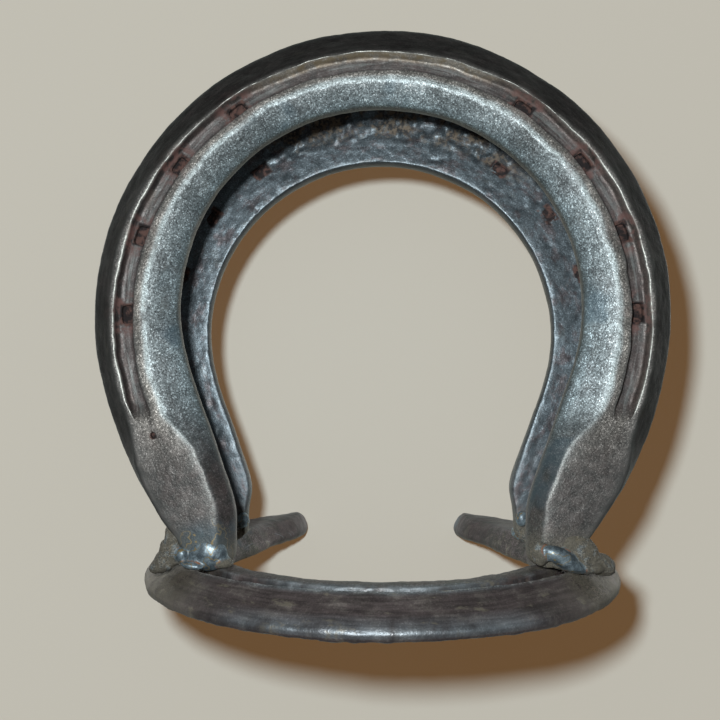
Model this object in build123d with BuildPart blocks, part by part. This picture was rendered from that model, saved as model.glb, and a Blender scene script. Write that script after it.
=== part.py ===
from build123d import *
from math import cos, radians, sin, sqrt, tan
import os

os.makedirs("parts", exist_ok=True)

# A free-standing holder made of three horseshoes: one lies flat as the base with its ground
# face up, and two stand on their heels across its branches with a slot between them.
# Frame: +Z up, origin under the middle of the holder, the base's toe towards -Y. Millimetres.

# The rolled bar that every shoe is turned from
THICKNESS = 8.0         # hoof face to ground face
WEB_WIDTH = 19.5        # outer edge to inner edge, measured on the hoof face
EDGE_HEIGHT = 2.6       # square band of the outer edge, next to the hoof face
FLARE = 5.9             # how far the outer edge slopes in from that band to the ground face
RIM_WIDTH = 1.2         # land between the sloped outer edge and the fuller
FULLER_WIDTH = 3.8      # groove that takes the nail heads
FULLER_DEPTH = 2.8
LIP_WIDTH = 1.5         # land between the fuller and the worn inner ridge
RIDGE_WIDTH = 1.4       # worn bevel along the top of the concave side
RIDGE_DEPTH = 0.4
CONCAVE_FLOOR = 2.4     # level at which the concave side's cone is narrowest
CONCAVE_INSET = 0.3     # how far inside the inner edge the cone is there
HOOF_EDGE_ROUND = 1.1   # rounding of the hoof face's border
TOE_SHIFT = 1.5         # the ground face's circles sit this much nearer to the heels
INNER_RISE = 1.0        # the inner edge's circle sits this much nearer to the toe

# Nail holes, counted from the branch towards the toe
NAILS_PER_SIDE = 4
NAIL_LENGTH = 3.6       # along the fuller
NAIL_WIDTH = 2.3
NAIL_STEP = 18.4        # degrees from one hole to the next
FULLER_END = 21.0       # degrees by which the fuller runs past the widest point

# The two standing shoes
STAND_RADIUS = 63.8     # outer edge at the hoof face
STAND_HEEL = 55.2       # centre of the toe circle to the ends of the heels
STAND_HEEL_WIDTH = 8.85 # across the end of a heel
STAND_SWEEP = 85.0      # radius that the outer edge straightens to along the heels
STAND_INNER_FLANK = 20.5    # degrees past the widest point where the inner edge runs straight
REAR_TRIM = 3.0         # the rear shoe's heels are cut this much shorter

# The base shoe, a smaller size
BASE_RADIUS = 58.0
BASE_HEEL = 54.5
BASE_HEEL_WIDTH = 4.8
BASE_SWEEP = 72.0
BASE_INNER_FLANK = 20.0

# Heels
HEEL_PARALLEL = 13.0    # last stretch of the heels, where their inner edges run parallel
OUTER_HEEL_CORNER = 3.5
INNER_HEEL_CORNER = 2.0
SWEEP_START = 12.0      # degrees past the widest point where the outer edge begins to straighten

# Where the standing shoes are welded on
TOE_SETBACK = 25.0      # base toe to the front shoe's ground face
SLOT_WIDTH = 25.5       # clear distance between the two hoof faces
BEAD_RADIUS = 3.6
BEAD_END_ROUND = 2.9    # rounding of a bead's ends
BEAD_WRAP = 1.5         # how far a bead runs past the heel, into the open middle
BEAD_REACH = 2.0        # how far it runs past the heel's outer side, at least
BEAD_BITE = 6.5         # how far it runs out past the base's inner edge, at least

CUTTER_REACH = 2 * STAND_RADIUS

BASE_CENTRE_Y = (BASE_RADIUS - BASE_HEEL) / 2
FRONT_GROUND_Y = BASE_CENTRE_Y - BASE_RADIUS + TOE_SETBACK
FRONT_HOOF_Y = FRONT_GROUND_Y + THICKNESS
REAR_HOOF_Y = FRONT_HOOF_Y + SLOT_WIDTH
REAR_GROUND_Y = REAR_HOOF_Y + THICKNESS

# Work plane of each shoe: origin in the hoof face at the centre of the toe circle,
# local Y towards the toe, local Z from the hoof face to the ground face.
base_plane = Plane(origin=(0, BASE_CENTRE_Y, 0), x_dir=(-1, 0, 0), z_dir=(0, 0, 1))
front_plane = Plane(
    origin=(0, FRONT_HOOF_Y, THICKNESS + STAND_HEEL), x_dir=(1, 0, 0), z_dir=(0, -1, 0)
)
rear_plane = Plane(
    origin=(0, REAR_HOOF_Y, THICKNESS + STAND_HEEL - REAR_TRIM), x_dir=(-1, 0, 0), z_dir=(0, 1, 0)
)


def heel_edge(radius, centre, sweep_start, sweep_radius, heel):
    """How far from the shoe's middle line the outer edge meets the end of a heel."""
    sweep_x = (radius - sweep_radius) * cos(radians(sweep_start))
    sweep_y = centre + (sweep_radius - radius) * sin(radians(sweep_start))
    return sweep_x + sqrt(sweep_radius**2 - (sweep_y + heel) ** 2)


def shoe_outline(radius, centre, sweep_start, sweep_radius, heel):
    """Closed outline: round the toe, on a wider sweep down both heels and across their ends."""
    start_x = radius * cos(radians(sweep_start))
    start_y = centre - radius * sin(radians(sweep_start))
    end_x = heel_edge(radius, centre, sweep_start, sweep_radius, heel)
    with BuildSketch() as outline:
        with BuildLine():
            CenterArc((0, centre), radius, -sweep_start, 180 + 2 * sweep_start)
            RadiusArc((start_x, start_y), (end_x, -heel), sweep_radius)
            Line((end_x, -heel), (-end_x, -heel))
            RadiusArc((-end_x, -heel), (-start_x, start_y), sweep_radius)
        make_face()
        fillet(outline.vertices().group_by(Axis.Y)[0], OUTER_HEEL_CORNER)
    return outline.sketch


def shoe_opening(radius, flank_angle, heel, neck_x):
    """The open middle of a shoe, out past the ends of its heels."""
    start_x = radius * cos(radians(flank_angle))
    start_y = INNER_RISE - radius * sin(radians(flank_angle))
    waist_y = HEEL_PARALLEL - heel
    waist_x = start_x - (start_y - waist_y) * tan(radians(flank_angle))
    neck_y = waist_y - HEEL_PARALLEL / 3
    with BuildSketch() as opening:
        with BuildLine():
            toe = CenterArc((0, INNER_RISE), radius, -flank_angle, 180 + 2 * flank_angle)
            right = ((waist_x, waist_y), (neck_x, neck_y), (neck_x, -heel), (CUTTER_REACH, -heel))
            left = [(-x, y) for x, y in reversed(right)]
            below = ((CUTTER_REACH, -heel - CUTTER_REACH), (-CUTTER_REACH, -heel - CUTTER_REACH))
            Polyline(toe @ 0, *right, *below, *left, toe @ 1)
        make_face()
        mouth = opening.vertices().group_by(Axis.Y)[1]
        fillet([corner for corner in mouth if abs(corner.X) < radius], INNER_HEEL_CORNER)
    return opening.sketch


def fuller_groove(radius):
    """The round-ended groove that runs round the toe to both heels."""
    with BuildSketch() as groove:
        with BuildLine():
            outer = CenterArc(
                (0, -TOE_SHIFT), radius + FULLER_WIDTH / 2, -FULLER_END, 180 + 2 * FULLER_END
            )
            inner = CenterArc(
                (0, -TOE_SHIFT), radius - FULLER_WIDTH / 2, -FULLER_END, 180 + 2 * FULLER_END
            )
            TangentArc(outer @ 0, inner @ 0, tangent=-(outer % 0))
            TangentArc(outer @ 1, inner @ 1, tangent=outer % 1)
        make_face()
    return groove.sketch


def make_shoe(name, plane, radius, heel, heel_width, sweep_radius, inner_flank):
    """One shoe: flared outline, open middle, concave side, fuller and nail holes."""
    inner_radius = radius - WEB_WIDTH
    rim_radius = radius - FLARE
    fuller_radius = rim_radius - RIM_WIDTH - FULLER_WIDTH / 2
    ridge_radius = fuller_radius - FULLER_WIDTH / 2 - LIP_WIDTH
    hoof_outline = shoe_outline(radius, 0, SWEEP_START, sweep_radius, heel)
    rim_outline = shoe_outline(rim_radius, -TOE_SHIFT, 0, sweep_radius, heel)
    neck_x = heel_edge(radius, 0, SWEEP_START, sweep_radius, heel) - heel_width
    opening = shoe_opening(inner_radius, inner_flank, heel, neck_x)
    ground = plane.offset(THICKNESS)
    with BuildPart() as shoe:
        with BuildSketch(plane):
            add(hoof_outline)
        extrude(amount=EDGE_HEIGHT)
        with BuildSketch(plane.offset(EDGE_HEIGHT)):
            add(hoof_outline)
        with BuildSketch(ground):
            add(rim_outline)
        loft(ruled=True)
        with BuildSketch(ground):
            add(fuller_groove(fuller_radius))
        extrude(amount=-FULLER_DEPTH, mode=Mode.SUBTRACT)
        with BuildSketch(plane):
            add(opening)
        extrude(amount=THICKNESS, mode=Mode.SUBTRACT)
        # Concave inner side: a leaning cone about the shoe's middle with a worn bevel on top,
        # which runs out on the heels
        with BuildSketch(plane.offset(CONCAVE_FLOOR)):
            with Locations((0, INNER_RISE)):
                Circle(inner_radius - CONCAVE_INSET)
        with BuildSketch(plane.offset(THICKNESS - RIDGE_DEPTH)):
            with Locations((0, -TOE_SHIFT)):
                Circle(ridge_radius - RIDGE_WIDTH)
        with BuildSketch(ground):
            with Locations((0, -TOE_SHIFT)):
                Circle(ridge_radius)
        loft(ruled=True, mode=Mode.SUBTRACT)
        with BuildSketch(ground):
            for number in range(NAILS_PER_SIDE):
                for angle in (number * NAIL_STEP, 180 - number * NAIL_STEP):
                    across = fuller_radius * cos(radians(angle))
                    along = fuller_radius * sin(radians(angle)) - TOE_SHIFT
                    with Locations(Location((across, along), angle)):
                        Rectangle(NAIL_WIDTH, NAIL_LENGTH)
        extrude(amount=-THICKNESS, mode=Mode.SUBTRACT)
        hoof_face = shoe.faces().sort_by(Axis(plane.origin, plane.z_dir))[0]
        fillet(hoof_face.outer_wire().edges(), HOOF_EDGE_ROUND)
    shoe.part.label = name
    return shoe.part


def make_bead(name, shoe, heel, face_y, hand):
    """A run of weld in the corner between a heel and the base, filling what lies under it."""
    heel_x = heel_edge(STAND_RADIUS, 0, SWEEP_START, STAND_SWEEP, heel)
    start_x = heel_x - STAND_HEEL_WIDTH - BEAD_WRAP
    end_x = max(heel_x + BEAD_REACH, BASE_RADIUS - WEB_WIDTH + BEAD_BITE)
    with BuildPart() as bead:
        with BuildSketch(Plane(origin=(start_x, face_y, THICKNESS), z_dir=(1, 0, 0))):
            Circle(BEAD_RADIUS)
        extrude(amount=end_x - start_x)
        fillet(bead.edges().filter_by(GeomType.CIRCLE), BEAD_END_ROUND)
        add(shoe, mode=Mode.SUBTRACT)
        add(base_shoe, mode=Mode.SUBTRACT)
        if hand == "left":
            mirror(about=Plane.YZ, mode=Mode.REPLACE)
    bead.part.label = name
    return bead.part


base_shoe = make_shoe(
    "base_shoe", base_plane, BASE_RADIUS, BASE_HEEL, BASE_HEEL_WIDTH, BASE_SWEEP, BASE_INNER_FLANK
)
front_shoe = make_shoe(
    "front_shoe", front_plane, STAND_RADIUS, STAND_HEEL, STAND_HEEL_WIDTH,
    STAND_SWEEP, STAND_INNER_FLANK,
)
rear_shoe = make_shoe(
    "rear_shoe", rear_plane, STAND_RADIUS, STAND_HEEL - REAR_TRIM, STAND_HEEL_WIDTH,
    STAND_SWEEP, STAND_INNER_FLANK,
)

# Each heel is welded along both of its faces
beads = []
for shoe, heel, faces_y in (
    (front_shoe, STAND_HEEL, {"outer": FRONT_GROUND_Y, "slot": FRONT_HOOF_Y}),
    (rear_shoe, STAND_HEEL - REAR_TRIM, {"slot": REAR_HOOF_Y, "outer": REAR_GROUND_Y}),
):
    place = shoe.label.removesuffix("_shoe")
    for hand in ("left", "right"):
        for which, face_y in faces_y.items():
            beads.append(make_bead(f"weld_{place}_{hand}_{which}", shoe, heel, face_y, hand))

for piece in (base_shoe, front_shoe, rear_shoe, *beads):
    export_step(piece, f"parts/{piece.label}.step")
    print(piece.label, round(piece.volume), len(piece.solids()), piece.is_valid)
print("overall", Compound([base_shoe, front_shoe, rear_shoe, *beads]).bounding_box().size)
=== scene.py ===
# %% [markdown]
# # A holder welded from three horseshoes
# The object is a free-standing holder for napkins or letters. One horseshoe lies flat with its
# ground face up, and two larger ones stand on their heels across its branches, welded on.
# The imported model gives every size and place, so this script only adds what forging, wear,
# rust and welding did to the plain shapes. All lengths in the cells below are millimetres
# until a mesh is made, because a smith's sizes read better that way.

# %% Load the fixed model
import math

import bpy
import numpy as np
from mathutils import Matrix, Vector


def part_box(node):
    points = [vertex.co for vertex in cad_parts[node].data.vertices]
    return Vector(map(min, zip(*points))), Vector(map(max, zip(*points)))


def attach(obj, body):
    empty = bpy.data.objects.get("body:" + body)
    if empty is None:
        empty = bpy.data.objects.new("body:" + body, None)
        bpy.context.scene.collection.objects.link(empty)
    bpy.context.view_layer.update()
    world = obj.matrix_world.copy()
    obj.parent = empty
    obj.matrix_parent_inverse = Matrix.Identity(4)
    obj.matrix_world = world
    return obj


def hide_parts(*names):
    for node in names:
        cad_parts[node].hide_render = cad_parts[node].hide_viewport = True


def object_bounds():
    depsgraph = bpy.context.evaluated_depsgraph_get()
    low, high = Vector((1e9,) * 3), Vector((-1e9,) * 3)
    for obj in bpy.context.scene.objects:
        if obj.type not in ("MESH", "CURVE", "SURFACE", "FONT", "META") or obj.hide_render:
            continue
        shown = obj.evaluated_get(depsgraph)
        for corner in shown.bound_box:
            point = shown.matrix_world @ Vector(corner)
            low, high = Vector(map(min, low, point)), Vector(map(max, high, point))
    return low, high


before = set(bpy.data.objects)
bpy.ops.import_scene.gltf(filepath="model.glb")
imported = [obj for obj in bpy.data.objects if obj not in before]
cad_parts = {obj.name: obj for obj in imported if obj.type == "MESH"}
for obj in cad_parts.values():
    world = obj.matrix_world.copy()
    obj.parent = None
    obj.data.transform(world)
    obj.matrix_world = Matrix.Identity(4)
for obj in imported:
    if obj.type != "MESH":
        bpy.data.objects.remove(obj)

MM = 0.001
cad_low, cad_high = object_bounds()
print("nodes:", sorted(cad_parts))

# %% [markdown]
# ## Where each shoe lies
# A shoe is easiest to shape lying on a bench: hoof face down at height 0, toe to +Y, ground
# face up. So each shoe is made like that and then turned into its place. The turn and the
# sizes are read from the box of the imported node. Each shoe also has numbers of its own: the
# radius of its outer line along the heels, the width of a heel, the slant of the straight part
# of its inner line in degrees, how much of the inner bevel is left, how its tips are rounded
# and thinned, how often wear went over the bar, its outer edge and its heels, how dark the
# painted shade lines in its fuller are, how deeply it is crusted and roughened, and the height
# of its inner wall.

# %% Read the three places
UPRIGHT = {             # what the two standing shoes have in common
    "lies": False, "sweep": 85.0, "heel_width": 8.85, "flank": 20.5, "bevelled": 1,
    "tip_corners": (0.4, 0.23), "nose": (1.2, 0.8), "wear": (3, 3, 8),
    # the first of these is how dark the painted shade lines in the fuller are
    "fuller_shade_strength": 1, "crusted": 0, "rougher": 0,
}
SHOES = {
    "base_shoe": {
        "lies": True, "sweep": 72.0, "heel_width": 4.8, "flank": 20.0, "bevelled": 0.4,
        "tip_corners": (0.58, 0.36), "nose": (5.6, 0.14), "wear": (8, 40, 60),
        "fuller_shade_strength": 0.4, "crusted": 0, "rougher": 0.06, "wall": 2.7,
    },
    "front_shoe": {**UPRIGHT, "wall": 3.6},
    "rear_shoe": {**UPRIGHT, "wall": 4.8, "crusted": 1},
}


def place_of(name):
    """Radius, heel length, origin and the three bench directions of a shoe."""
    low, high = (np.array(corner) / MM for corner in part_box(name))
    radius = (high[0] - low[0]) / 2
    if SHOES[name]["lies"]:
        origin = np.array([0, low[1] + radius, low[2]])
        turn = np.array([[-1, 0, 0], [0, -1, 0], [0, 0, 1]], float)
        return radius, high[1] - origin[1], origin, turn
    front = name == "front_shoe"
    origin = np.array([0, high[1] if front else low[1], high[2] - radius])
    side = 1 if front else -1
    turn = np.array([[side, 0, 0], [0, 0, 1], [0, -side, 0]], float)
    return radius, origin[2] - low[2], origin, turn


for shoe_name, facts in SHOES.items():
    facts["radius"], facts["heel"], facts["origin"], facts["turn"] = place_of(shoe_name)
    print(shoe_name, "radius", round(facts["radius"], 2), "heel", round(facts["heel"], 2))

# %% [markdown]
# ## Noise for the metal
# Forged steel is never even. Value noise on a hashed lattice gives the same bumps on every
# run, and costs little on a hundred thousand points. A few octaves of it stand for hammer
# marks, scale and pits.

# %% Seeded value noise


def lattice_noise(points, size, seed):
    """Smooth noise from 0 to 1 at points in millimetres, with features about size across."""
    q = points / size
    cell = np.floor(q).astype(np.int64)
    part = q - cell
    part = part * part * (3 - 2 * part)
    total = np.zeros(len(points))
    for corner in range(8):
        bits = np.array([corner & 1, corner >> 1 & 1, corner >> 2 & 1])
        key = (cell + bits) @ np.array([374761393, 668265263, 974634777]) + seed * 1274126177
        key = (key ^ (key >> 13)) & 0xFFFFFFFF
        key = (key * 1274126177) & 0xFFFFFFFF
        key ^= key >> 16
        share = np.prod(np.where(bits, part, 1 - part), axis=1)
        total += share * (key / 0xFFFFFFFF)
    return total


def rough_noise(points, size, seed, octaves=3):
    """Several octaves of lattice noise, centred on zero."""
    total = np.zeros(len(points))
    for octave in range(octaves):
        total += (lattice_noise(points, size / 2**octave, seed + octave) - 0.5) / 2**octave
    return total


def smooth_step(value, start, end):
    """0 before start, 1 after end, with soft ends."""
    share = np.clip((value - start) / (end - start), 0, 1)
    return share * share * (3 - 2 * share)


print("noise at the origin:", round(float(lattice_noise(np.zeros((1, 3)), 1.0, 7)[0]), 3))

# %% [markdown]
# ## The line of the bar
# A keg shoe is one bar bent round. Its shape is a row of stations from heel to heel, and at
# each one a straight line crosses the bar from the outer edge to the inner edge. Round the toe
# both edges are arcs; along the heels the outer edge follows a wider sweep, and the inner edge
# runs straight and then parallel.

# %% Stations along a shoe
WEB = 19.5              # outer to inner edge
THICK = 8.0             # hoof face to ground face
INNER_RISE = 1.0        # the inner arc's centre, towards the toe
TOE_SHIFT = 1.5         # the ground face's centre, towards the heels
SWEEP_START = math.radians(12)
HEEL_PARALLEL = 13.0
STEP = 0.5              # distance between stations
SOFTEN_REACH, SOFTEN_WIDTH = 12, 5  # stations over which the inner edge's corners are eased
TIP_BEND, BEND_LENGTH = 1.8, 28     # how far the base's heel tips lean in, and from where
EXTRA_STATIONS = 1 - np.array([0.12, 0.37, 0.62, 0.85]) / 45     # they round the very tips


def inner_edge(levels, shoe, neck):
    """How far the inner edge is from the middle line at these levels along the heel."""
    radius = shoe["radius"] - WEB
    flank = math.radians(shoe["flank"])
    start = (radius * math.cos(flank), INNER_RISE - radius * math.sin(flank))
    waist_y = HEEL_PARALLEL - shoe["heel"]
    waist_x = start[0] - (start[1] - waist_y) * math.tan(flank)
    line_y = [-99.0, waist_y - HEEL_PARALLEL / 3, waist_y, start[1]]
    straight = np.interp(levels, line_y, [neck, neck, waist_x, start[0]])
    arc = np.sqrt(np.clip(radius**2 - (levels - INNER_RISE) ** 2, 0, None))
    return np.where(levels > start[1], arc, straight)


def stations_of(shoe):
    """Outer and inner edge points from the right heel round the toe to the left heel."""
    radius, sweep, heel = shoe["radius"], shoe["sweep"], shoe["heel"]
    turns = int((radius - WEB / 2) * (math.pi / 2 + SWEEP_START) / STEP)
    angle = np.linspace(math.pi / 2, -SWEEP_START, turns)
    ray = np.stack([np.cos(angle), np.sin(angle)], axis=1)
    outer = radius * ray
    inner = (radius - WEB) * ray + [0, INNER_RISE]
    share = np.linspace(0, 1, int((heel + outer[-1, 1]) / STEP) + 1)[1:]
    share = np.sort(np.append(share, EXTRA_STATIONS))
    hub = (radius - sweep) * math.cos(SWEEP_START), (sweep - radius) * math.sin(SWEEP_START)
    neck = hub[0] + math.sqrt(sweep**2 - (hub[1] + heel) ** 2) - shoe["heel_width"]
    outer_y = outer[-1, 1] - share * (heel + outer[-1, 1])
    inner_y = inner[-1, 1] - share * (heel + inner[-1, 1])
    outer_x = hub[0] + np.sqrt(sweep**2 - (outer_y - hub[1]) ** 2)
    steps = np.arange(-SOFTEN_REACH, SOFTEN_REACH + 1)
    soften = np.exp(-0.5 * (steps / SOFTEN_WIDTH) ** 2)
    inner_x = sum(inner_edge(inner_y + step * STEP, shoe, neck) * weight
                  for step, weight in zip(steps, soften))
    inner_x /= soften.sum()
    if shoe["lies"]:                             # its heels were hammered in a little
        outer_x = outer_x - TIP_BEND * smooth_step(-outer_y, heel - BEND_LENGTH, heel)
        inner_x = inner_x - TIP_BEND * smooth_step(-inner_y, heel - BEND_LENGTH, heel)
    gone = heel + outer_y                        # what is left to the very end of the heel
    for edge, side, reach in zip((outer_x, inner_x), (-1, 1), shoe["tip_corners"]):
        corner = reach * shoe["heel_width"]
        bite = np.clip(corner - gone, 0, corner)
        edge += side * (corner - np.sqrt(corner**2 - bite**2))
    outer = np.vstack([outer, np.stack([outer_x, outer_y], 1)])
    inner = np.vstack([inner, np.stack([inner_x, inner_y], 1)])
    mirror = [-1, 1]
    return (np.vstack([outer[::-1], outer[1:] * mirror]),
            np.vstack([inner[::-1], inner[1:] * mirror]))


for shoe_name, facts in SHOES.items():
    facts["outer"], facts["inner"] = stations_of(facts)
    print(shoe_name, "has", len(facts["outer"]), "stations")

# %% [markdown]
# ## Mesh helpers
# Points are worked out in millimetres and only become metres in a mesh. Every made shape here
# is a tube of rings of points with flat ends: a shoe, a punch and a drop of weld metal.

# %% Make, read and settle meshes


def tube_faces(rings, around, first=0):
    """Faces of a tube of rings of points, with a flat face at each end."""
    index = first + np.arange(rings * around).reshape(rings, around)
    following = np.roll(index, -1, axis=1)
    quads = np.stack([index[:-1], index[1:], following[1:], following[:-1]], 2).reshape(-1, 4)
    ends = [index[0].tolist(), index[-1, ::-1].tolist()]
    return [tuple(face) for face in quads.tolist() + ends]


def placed(name, data):
    """A new object in the room."""
    item = bpy.data.objects.new(name, data)
    bpy.context.scene.collection.objects.link(item)
    return item


def made(name, points, faces):
    """A new object with a mesh of these points, in millimetres."""
    mesh = bpy.data.meshes.new(name)
    mesh.from_pydata((np.asarray(points) * MM).tolist(), [], faces)
    return placed(name, mesh)


def read_points(mesh, what="co"):
    """The place or the normal of every point of a mesh."""
    values = np.zeros(len(mesh.vertices) * 3)
    mesh.vertices.foreach_get(what, values)
    return values.reshape(-1, 3)


def move_points(mesh, points):
    """Puts the points of a mesh at these places, in millimetres."""
    mesh.vertices.foreach_set("co", (points.reshape(-1) * MM).astype(np.float32))
    mesh.update()


def note(mesh, name, values):
    """Stores one number per point for the material to read."""
    layer = mesh.attributes.new(name, "FLOAT", "POINT")
    layer.data.foreach_set("value", np.ascontiguousarray(values, np.float32).reshape(-1))


def settle(piece):
    """Gives a piece the mesh that its modifiers make, smoothly shaded."""
    graph = bpy.context.evaluated_depsgraph_get()
    done = bpy.data.meshes.new_from_object(piece.evaluated_get(graph))
    piece.modifiers.clear()
    old, piece.data = piece.data, done
    bpy.data.meshes.remove(old)
    for polygon in done.polygons:
        polygon.use_smooth = True
    return done


print("faces of a square rod:", len(tube_faces(2, 4)))

# %% [markdown]
# ## The section of the bar
# From the outer edge inwards the ground face has a steep flare, a narrow rim, the fuller that
# takes the nail heads, a lip, a worn ridge and the hollowed concave side. Every line is a
# circle about the ground face's own centre, so where it crosses a station is worked out. Each
# feature keeps its own rows of points, so its edges stay crisp along the whole bar. Rounding
# comes last, as wear does: each point moves towards its neighbours, more so on the heels.

# %% Feature lines
EDGE_FOOT, EDGE_HEIGHT = 1.1, 2.6
RIM_LINE = 6.7          # outer edge to the polished inner edge of the rim
RIM_WIDTH, RIM_AT_TOE = 1.25, 0.5
FULLER_WIDTH, FULLER_DEPTH = 3.6, 2.0
LIP_WIDTH, RIDGE_WIDTH, RIDGE_DEPTH = 1.95, 1.4, 0.4
FULLER_END, HEEL_FROM, HEEL_TO, HELD_FROM = (math.radians(turn) for turn in (21, 19, 36, 26))
TOE_FROM, TOE_TO = 25, 58           # how far forward the toe starts and is full
NARROW_FROM, NARROW_TO = 20.5, 31   # how far back the bevel becomes the heel's own
MOST_BEVEL, HEEL_BEVEL, HEEL_FLARE = 8.2, 3.3, 2.6
LEAST_WIDTH = 4.6       # a narrower heel has the same section, squeezed
LEAST_LIP, LEAST_FULLER, LEAST_RIM = 0.35, 0.6, 0.3
WAVINESS, WAVE_LENGTH = 0.55, 5.0
ROWS = {                # points along each stretch of the section, and what it is
    "edge": 5, "flare": 18, "rim": 5, "outer_wall": 7, "floor": 9, "inner_wall": 7,
    "lip": 5, "ridge": 5, "slope": 18, "wall": 6, "hoof_corner": 2, "hoof": 34, "corner": 4,
}
FIRST_ROW = dict(zip(ROWS, np.cumsum([0, *ROWS.values()])))
ALL_ROWS = np.arange(sum(ROWS.values()))


def crossing(shoe, radius):
    """Distance from the outer edge at which each station meets a circle of the ground face."""
    start = shoe["outer"] + [0, TOE_SHIFT]
    along = np.sum(start * shoe["across"], axis=1)
    inside = along**2 - (np.sum(start**2, axis=1) - radius**2)
    return -along - np.sqrt(np.clip(inside, 0.01, None))


def hold_after(values, turned, limit):
    """Keeps the value at the limit on both heels beyond it."""
    held = values.copy()
    last = np.where(turned[:len(values) // 2] > limit)[0].max()
    held[: last + 1] = values[last + 1]
    held[len(values) - last - 1:] = values[len(values) - last - 2]
    return held


def measure_stations(shoe):
    """Width, direction, turn, heel and place on the bar of every station."""
    outer, inner = shoe["outer"], shoe["inner"]
    shoe["width"] = np.linalg.norm(inner - outer, axis=1)
    shoe["across"] = (inner - outer) / shoe["width"][:, None]
    shoe["turned"] = -np.arctan2(outer[:, 1] + TOE_SHIFT, np.abs(outer[:, 0]))
    shoe["heel_mask"] = smooth_step(shoe["turned"], HEEL_FROM, HEEL_TO)
    steps = np.linalg.norm(np.diff((outer + inner) / 2, axis=0), axis=1)
    bar = np.cumsum(np.append(0, steps))
    shoe["bar"] = bar - bar[len(bar) // 2]


for seed, (shoe_name, facts) in enumerate(SHOES.items()):
    facts["seed"] = 100 * (seed + 1)
    measure_stations(facts)
    print(shoe_name, "bar", round(float(2 * facts["bar"].max())), "mm long")

# %% The section, corner by corner


def fuller_sides(shoe):
    """Middle, half width and depth of the fuller, which runs out towards the heels."""
    turned, radius = shoe["turned"], shoe["radius"] - RIM_LINE
    line = hold_after(crossing(shoe, radius), turned, HELD_FROM)
    past = (turned - FULLER_END) * radius / (FULLER_WIDTH / 2)
    half = np.sqrt(np.clip(1 - np.clip(past, 0, 1) ** 2, 0.2, 1)) * FULLER_WIDTH / 2
    return line, half, FULLER_DEPTH * (1 - smooth_step(past, -1.2, 1.0))


def section_corners(shoe):
    """Distance from the outer edge and height of every corner of the section."""
    width, heel = shoe["width"], shoe["heel_mask"]
    track = np.pad(shoe["bar"][:, None], ((0, 0), (0, 2)))
    wave = [rough_noise(track, WAVE_LENGTH, shoe["seed"] + n) * WAVINESS for n in range(6)]
    toe = smooth_step(shoe["outer"][:, 1], TOE_FROM, TOE_TO)
    tip = np.clip((shoe["turned"] - HELD_FROM) / 0.5, 0, 1)
    line, half, depth = fuller_sides(shoe)
    middle = line + FULLER_WIDTH / 2
    full = np.maximum(width, LEAST_WIDTH)
    inner_ridge = shoe["radius"] - RIM_LINE - FULLER_WIDTH - LIP_WIDTH - RIDGE_WIDTH
    bevel = np.clip(width - crossing(shoe, inner_ridge) + 0.55 * toe, 0, MOST_BEVEL)
    bevel = bevel * shoe["bevelled"]
    narrow = smooth_step(-shoe["inner"][:, 1], NARROW_FROM, NARROW_TO)
    bevel = bevel * (1 - narrow) + np.minimum(HEEL_BEVEL - 0.9 * tip, 0.3 * full) * narrow
    ridge_in = full - bevel + wave[1]
    ridge_out = ridge_in - RIDGE_WIDTH * (1 - 0.35 * heel) + wave[2] * 0.6
    far = np.minimum(middle + half + wave[3] * 0.5, ridge_out - LEAST_LIP)
    near = np.minimum(middle - half + wave[4] * 0.6, far - LEAST_FULLER)
    flare = line - RIM_WIDTH + (RIM_WIDTH - RIM_AT_TOE) * toe + wave[5] * 0.4
    flare = flare * (1 - heel) + (HEEL_FLARE - 1.3 * tip) * heel + wave[0] * 0.5
    flare = np.minimum(flare, near - LEAST_RIM)
    lean = np.minimum(0.45 * depth / FULLER_DEPTH, (far - near) / 3)
    flat, zero = np.full_like(width, THICK), np.zeros_like(width)
    shoe["groove"] = depth / FULLER_DEPTH
    return [
        (zero, zero + EDGE_FOOT), (zero, zero + EDGE_HEIGHT), (flare, flat - 0.1 * heel),
        (near, flat), (near + lean, flat - depth), (far - lean * 0.3, flat - depth), (far, flat),
        (ridge_out, flat), (ridge_in, flat - RIDGE_DEPTH), (full, zero + shoe["wall"]),
        (full, zero + 0.5), (full - 0.5, zero), (zero + EDGE_FOOT, zero),
    ]


def spread(values, times):
    """Softens values round the section."""
    for _ in range(times):
        values = values / 2 + (np.roll(values, 1, 1) + np.roll(values, -1, 1)) / 4
    return values


def section_grid(shoe):
    """Points between the corners at every station, worn round."""
    corners, rows = section_corners(shoe), []
    for n, count in enumerate(ROWS.values()):
        share = (np.arange(count) / count)[None, :]
        ends = zip(corners[n], corners[(n + 1) % len(corners)])
        rows.append(np.stack([a[:, None] * (1 - share) + b[:, None] * share
                              for a, b in ends], axis=2))
    grid = np.concatenate(rows, axis=1)
    grid[:, :, 0] *= (shoe["width"] / np.maximum(shoe["width"], LEAST_WIDTH))[:, None]
    least, edge, most = shoe["wear"]
    heel = shoe["heel_mask"][:, None, None]
    worn = spread(grid, least) * (1 - heel) + spread(grid, most) * heel
    if shoe["lies"]:                             # its outer edge has lost all its corners
        row = (ALL_ROWS + 6) % len(ALL_ROWS) - 6
        outer = (smooth_step(-row, -18, -12) * smooth_step(row, -4, 1))[None, :, None]
        worn = worn * (1 - outer) + spread(grid, edge) * outer
    return worn


for shoe_name, facts in SHOES.items():
    facts["grid"] = section_grid(facts)
    print(shoe_name, "section grid", facts["grid"].shape)

# %% [markdown]
# ## Skin of a shoe
# The grid of points becomes a closed skin with flat ends. Normals come from the finished skin,
# and the bumps push points along them, only ever inwards, so that the worn shoe stays inside
# its true size. What each patch of steel is gets written down with the point it belongs to:
# how much it is fuller or slope, how far an edge stands out and catches wear, and how deep a
# corner lies, which the materials darken as painted shade. The materials read these later.

# %% Build the skins
HAMMER_SIZE, HAMMER_DEPTH = 9.0, 0.28
SCALE_SIZE, PIT_SIZE, LUMP_SIZE = 1.5, 1.9, 1.6


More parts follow.
